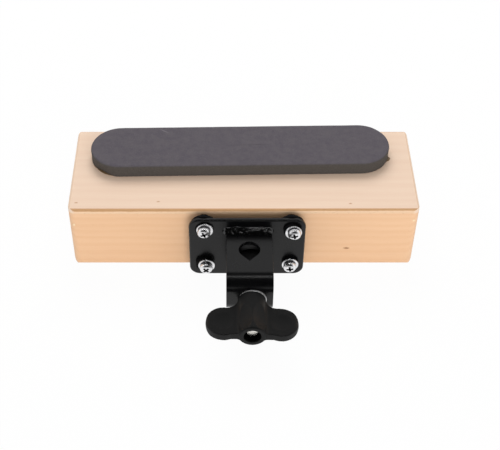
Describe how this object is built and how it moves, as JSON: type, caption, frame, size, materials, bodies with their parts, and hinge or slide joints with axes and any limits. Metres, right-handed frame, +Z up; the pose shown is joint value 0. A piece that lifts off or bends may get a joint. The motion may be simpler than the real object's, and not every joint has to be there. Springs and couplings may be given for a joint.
{
  "type": "woodblock",
  "caption": "Hollow wooden percussion block with a plywood playing top, a foam pad along the rear of the top and a steel bracket in front with a wing-nut clamp for a stand rod.",
  "frame": {"origin": "middle of the box's underside, on the underside", "axes": "+X along the block's length, +Z up out of the playing top, the clamp points to -Y"},
  "size_m": [0.25, 0.1793, 0.0664],
  "materials": {
    "birch_plywood": "satin",
    "solid_board": "satin",
    "zinc_steel": "satin",
    "foam": "matte",
    "adhesive_film": "satin",
    "coated_steel": "satin",
    "black_rubber": "matte",
    "bright_steel": "gloss",
    "moulded_nylon": "satin"
  },
  "bodies": {
    "block": {"top_plate": "birch_plywood", "bottom_plate": "birch_plywood", "front_wall": "solid_board", "back_wall": "solid_board", "left_end": "solid_board", "right_end": "solid_board", "panel_pins": "zinc_steel", "foam_pad": "foam", "pad_adhesive": "adhesive_film", "mounting_plate": "coated_steel", "clamp_strap": "coated_steel", "upper_weld": "coated_steel", "lower_weld": "coated_steel", "bush_upper_left": "black_rubber", "washer_upper_left": "bright_steel", "lock_washer_upper_left": "bright_steel", "screw_upper_left": "bright_steel", "threaded_insert_upper_left": "zinc_steel", "bush_upper_right": "black_rubber", "washer_upper_right": "bright_steel", "lock_washer_upper_right": "bright_steel", "screw_upper_right": "bright_steel", "threaded_insert_upper_right": "zinc_steel", "bush_lower_left": "black_rubber", "washer_lower_left": "bright_steel", "lock_washer_lower_left": "bright_steel", "screw_lower_left": "bright_steel", "threaded_insert_lower_left": "zinc_steel", "bush_lower_right": "black_rubber", "washer_lower_right": "bright_steel", "lock_washer_lower_right": "bright_steel", "screw_lower_right": "bright_steel", "threaded_insert_lower_right": "zinc_steel", "clamp_washer": "bright_steel"},
    "clamp_nut": {"wing_nut_body": "moulded_nylon", "wing_nut_insert": "zinc_steel"},
    "clamp_bolt": {"eye_bolt": "zinc_steel"}
  },
  "joints": [
    {"name": "wing_nut_turn", "type": "hinge", "parent": "block", "child": "clamp_nut", "pos_m": [0.005, -0.12, 0.029], "axis": [0, 1, 0], "range_deg": [-810, 2340]},
    {"name": "eye_bolt_draw", "type": "slide", "parent": "block", "child": "clamp_bolt", "axis": [0, -1, 0], "range_m": [-0.00281, 0.00813]}
  ],
  "couplings": [
    {"joint": "eye_bolt_draw", "follows": "wing_nut_turn", "m_per_rad": 0.00019894}
  ]
}
